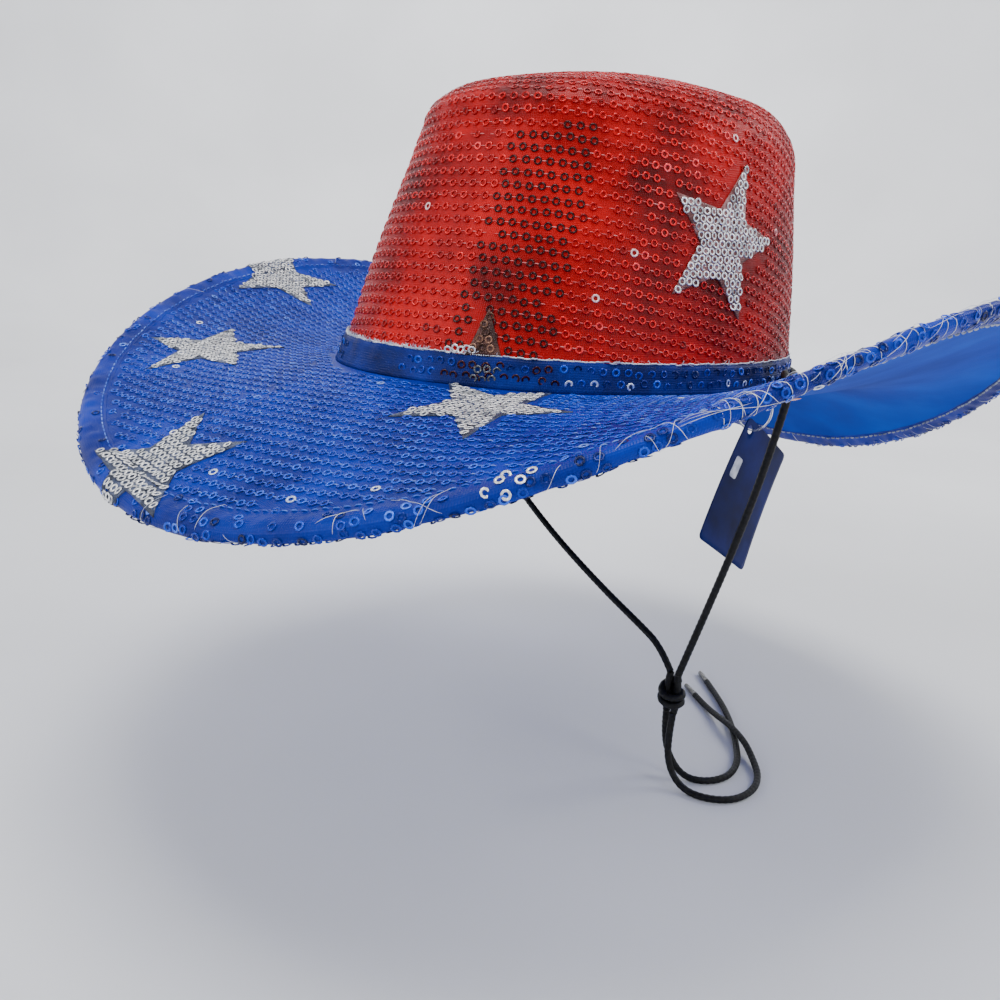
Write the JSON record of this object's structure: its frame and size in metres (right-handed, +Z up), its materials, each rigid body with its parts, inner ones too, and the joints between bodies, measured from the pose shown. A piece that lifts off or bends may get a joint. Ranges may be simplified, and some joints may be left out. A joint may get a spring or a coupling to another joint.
{
  "type": "sequinned cowboy party hat",
  "caption": "Costume cowboy hat with a red sequin crown, a wired blue sequin brim that curls up at the sides, silver stars, a knotted chin cord and a hang tag.",
  "frame": {"origin": "centre of the head opening, on the top face of the brim stiffener where the brim meets the crown", "axes": "+Z up out of the crown, -Y toward the front of the hat, +X toward the left of the wearer"},
  "size_m": [0.36, 0.376, 0.281],
  "materials": {
    "red_sequin_cloth": "glossy red knit under rows of small red ring sequins",
    "crown_felt": "white moulded felt",
    "lining_cloth": "plain red knit",
    "sweatband_tape": "black woven tape",
    "blue_sequin_cloth": "glossy royal blue knit under rows of small blue ring sequins",
    "brim_foam": "closed-cell foam sheet",
    "blue_plain_cloth": "brushed bright blue knit",
    "steel_wire": "bright spring wire",
    "grey_thread": "grey overlock thread",
    "silver_sequins": "dense silver and clear ring sequins",
    "rose_metal": "rose plated pressed brass",
    "black_cord": "braided black polyester",
    "sealed_cord_tip": "cord end sealed stiff and glossy",
    "navy_card": "laminated navy card",
    "clear_plastic": "clear nylon loop"
  },
  "bodies": {
    "hat": {"brim_hem": "blue_sequin_cloth", "brim_star_back": "silver_sequins", "brim_star_back_left": "silver_sequins", "brim_star_back_right": "silver_sequins", "brim_star_front": "silver_sequins", "brim_star_front_left": "silver_sequins", "brim_star_front_right": "silver_sequins", "brim_star_right": "silver_sequins", "brim_stiffener": "brim_foam", "brim_top_cloth": "blue_sequin_cloth", "brim_underside_cloth": "blue_plain_cloth", "brim_wire": "steel_wire", "cord_back_run": "black_cord", "cord_knot": "black_cord", "cord_left_strand": "black_cord", "cord_right_strand": "black_cord", "cord_tail_inner": "black_cord", "cord_tail_outer": "black_cord", "cord_tip_inner": "sealed_cord_tip", "cord_tip_outer": "sealed_cord_tip", "crown_lining": "lining_cloth", "crown_side_cloth": "red_sequin_cloth", "crown_star_back": "silver_sequins", "crown_star_front": "silver_sequins", "crown_star_left": "silver_sequins", "crown_star_right": "silver_sequins", "crown_stiffener": "crown_felt", "crown_tip_cloth": "red_sequin_cloth", "eyelet_left": "rose_metal", "eyelet_right": "rose_metal", "eyelet_washer_left": "rose_metal", "eyelet_washer_right": "rose_metal", "hat_band": "blue_sequin_cloth", "hem_stitching": "grey_thread", "sweatband": "sweatband_tape", "tag_loop": "clear_plastic", "wire_ferrule": "steel_wire"},
    "tag": {"hang_tag": "navy_card"}
  },
  "joints": [
    {"name": "tag_swing", "type": "hinge", "parent": "hat", "child": "tag", "pos_m": [0.06955, 0.0365, -0.018], "axis": [1, 0, 0], "range_deg": [-60, 45]}
  ]
}
